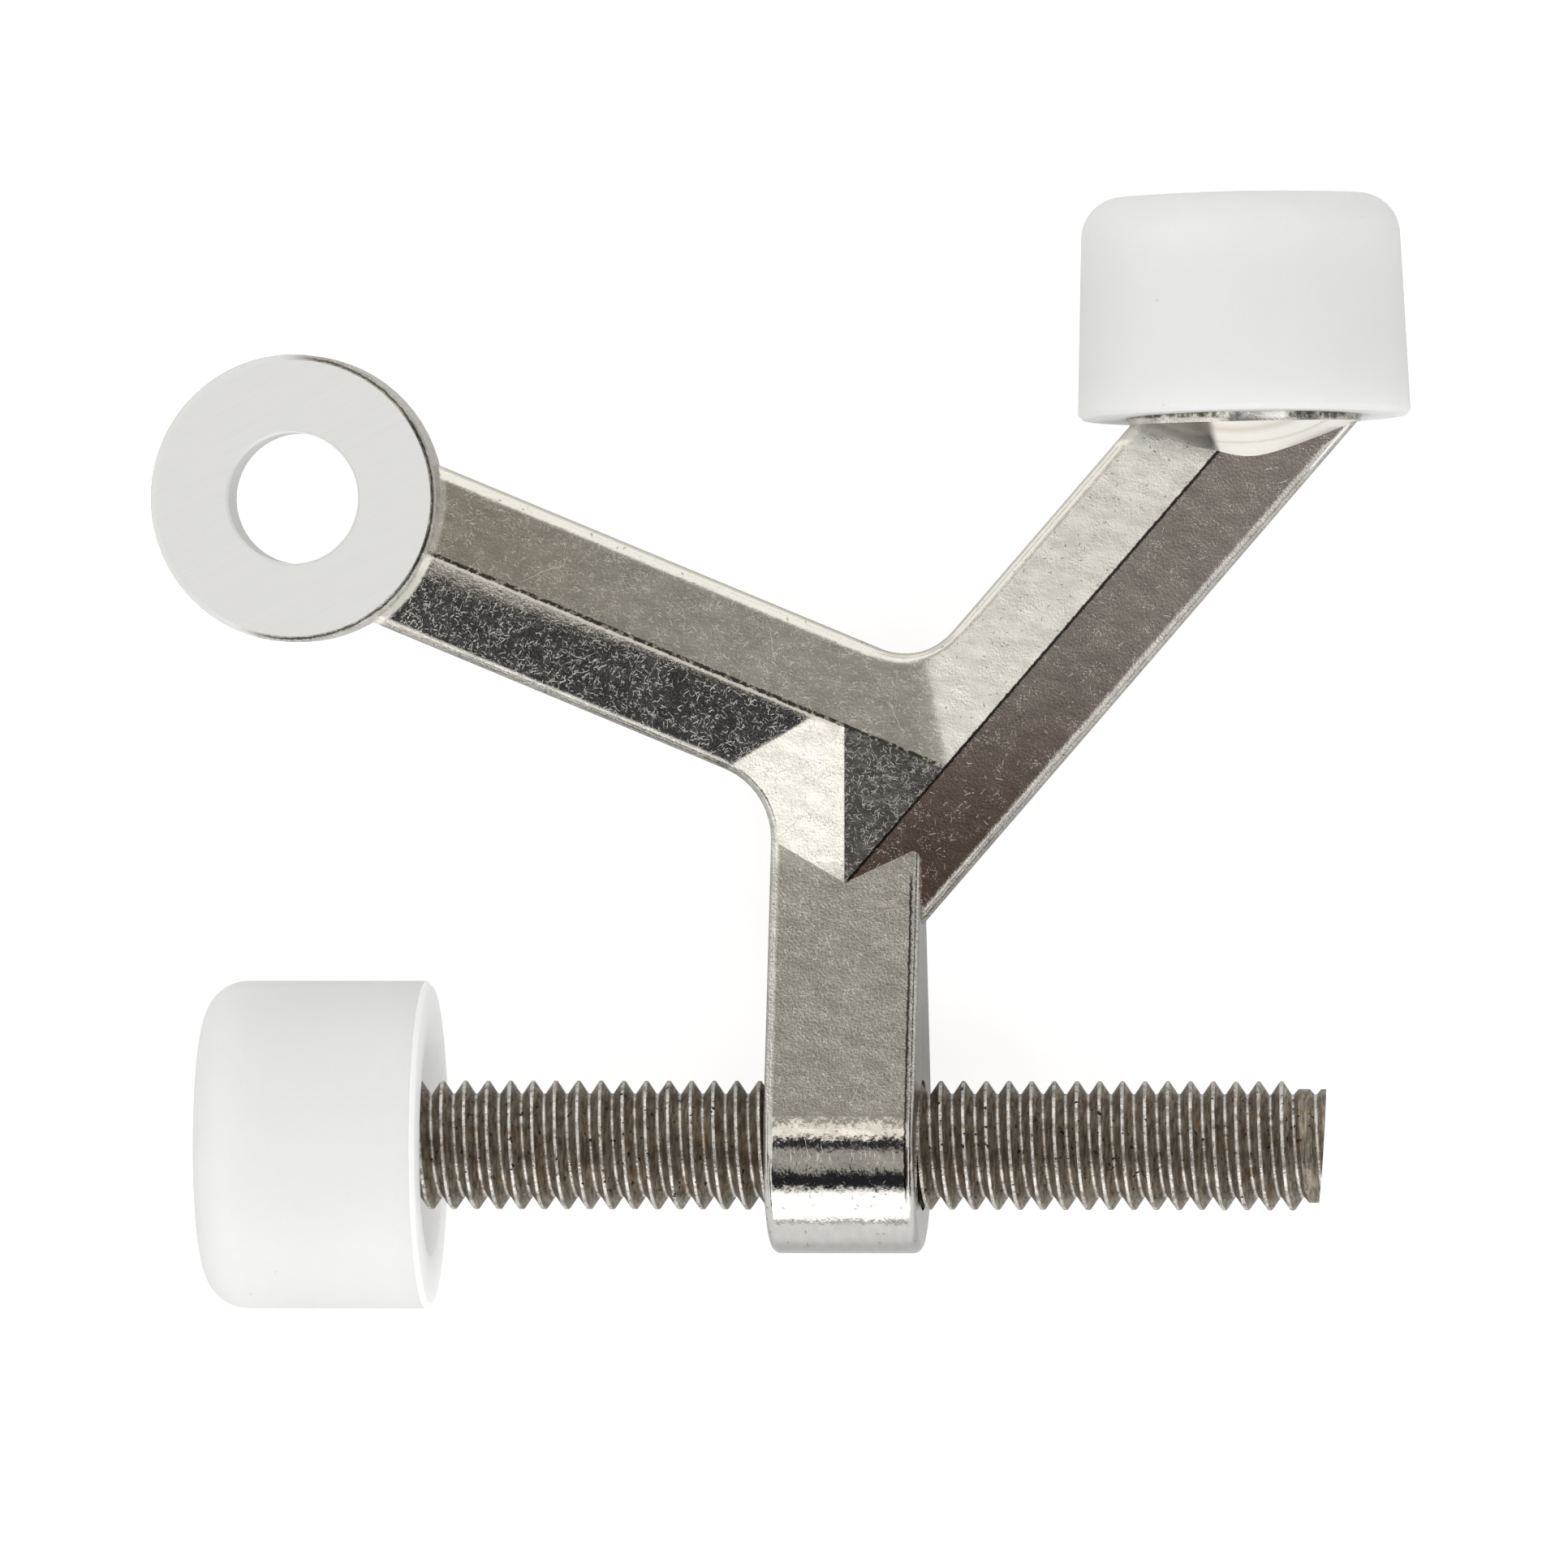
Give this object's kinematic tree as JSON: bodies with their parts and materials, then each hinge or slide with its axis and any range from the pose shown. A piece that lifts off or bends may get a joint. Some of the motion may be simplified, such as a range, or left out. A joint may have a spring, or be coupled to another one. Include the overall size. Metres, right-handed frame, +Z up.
{
  "type": "hinge pin door stop",
  "caption": "Door stop that sits on a hinge pin: a cast Y-shaped bracket with one fixed bumper and one bumper on a threaded rod that sets the door's opening.",
  "frame": {"origin": "centre of the hinge pin bore, halfway through the ring", "axes": "+Z up along the hinge pin, +X along the rod towards its free end, +Y towards the fixed bumper's nose"},
  "size_m": [0.0775, 0.0687, 0.0204],
  "materials": {
    "plated_casting": "bright nickel plate over a lightly pitted die-cast skin",
    "rod_steel": "plain steel thread, dull in the grooves and bright on the crests",
    "bumper_plastic": "soft white plastic, satin"
  },
  "bodies": {
    "bracket": {"casting": "plated_casting", "fixed_bumper": "bumper_plastic"},
    "rod_cap": {"rod_bumper": "bumper_plastic"},
    "rod": {"threaded_rod": "rod_steel"}
  },
  "joints": [
    {"name": "rod_travel", "type": "slide", "parent": "bracket", "child": "rod_cap", "axis": [1, 0, 0], "range_m": [-0.022, 0.02]},
    {"name": "rod_turn", "type": "hinge", "parent": "rod_cap", "child": "rod", "pos_m": [0.03405, -0.0398, 0], "axis": [1, 0, 0], "range_deg": [-5600, 5090]}
  ],
  "couplings": [
    {"joint": "rod_travel", "follows": "rod_turn", "m_per_rad": 0.00022458}
  ]
}
